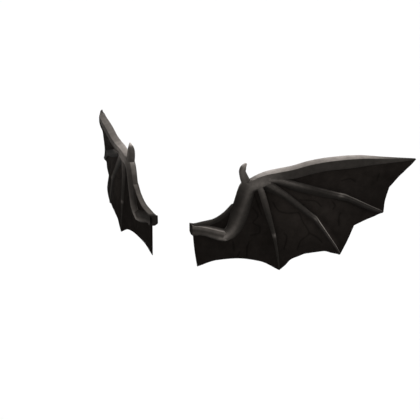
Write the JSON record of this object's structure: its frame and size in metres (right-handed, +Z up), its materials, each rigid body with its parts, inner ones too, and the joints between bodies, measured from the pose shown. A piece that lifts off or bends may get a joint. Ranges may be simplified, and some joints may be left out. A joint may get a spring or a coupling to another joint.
{
  "type": "costume bat wings",
  "caption": "Spread bat wings worn on the back: moulded arm and finger bones with hooked thumb claws carry thin, scallop-hemmed leathery membrane panels.",
  "frame": {"origin": "midway between the flat root faces of the two wings, at the wearer's spine between the shoulder blades", "axes": "+X to the right wing, +Y the way the wings sweep back from the wearer, +Z up"},
  "size_m": [1.0098, 0.3821, 0.2977],
  "materials": {
    "bone": "matte moulded foam rubber, warm grey-brown with fine skin grain",
    "membrane": "matte leatherette, warm black-brown with veins and fine creases"
  },
  "bodies": {
    "root": {"right_upper_arm": "bone", "right_forearm": "bone", "right_wrist": "bone", "right_thumb_claw": "bone", "right_front_edge": "bone", "right_finger_1": "bone", "right_finger_2": "bone", "right_finger_3": "bone", "right_finger_4": "bone", "right_panel_front": "membrane", "right_panel_1_2": "membrane", "right_panel_2_3": "membrane", "right_panel_3_4": "membrane", "right_panel_4_body": "membrane", "left_upper_arm": "bone", "left_forearm": "bone", "left_wrist": "bone", "left_thumb_claw": "bone", "left_front_edge": "bone", "left_finger_1": "bone", "left_finger_2": "bone", "left_finger_3": "bone", "left_finger_4": "bone", "left_panel_front": "membrane", "left_panel_1_2": "membrane", "left_panel_2_3": "membrane", "left_panel_3_4": "membrane", "left_panel_4_body": "membrane"}
  },
  "joints": []
}
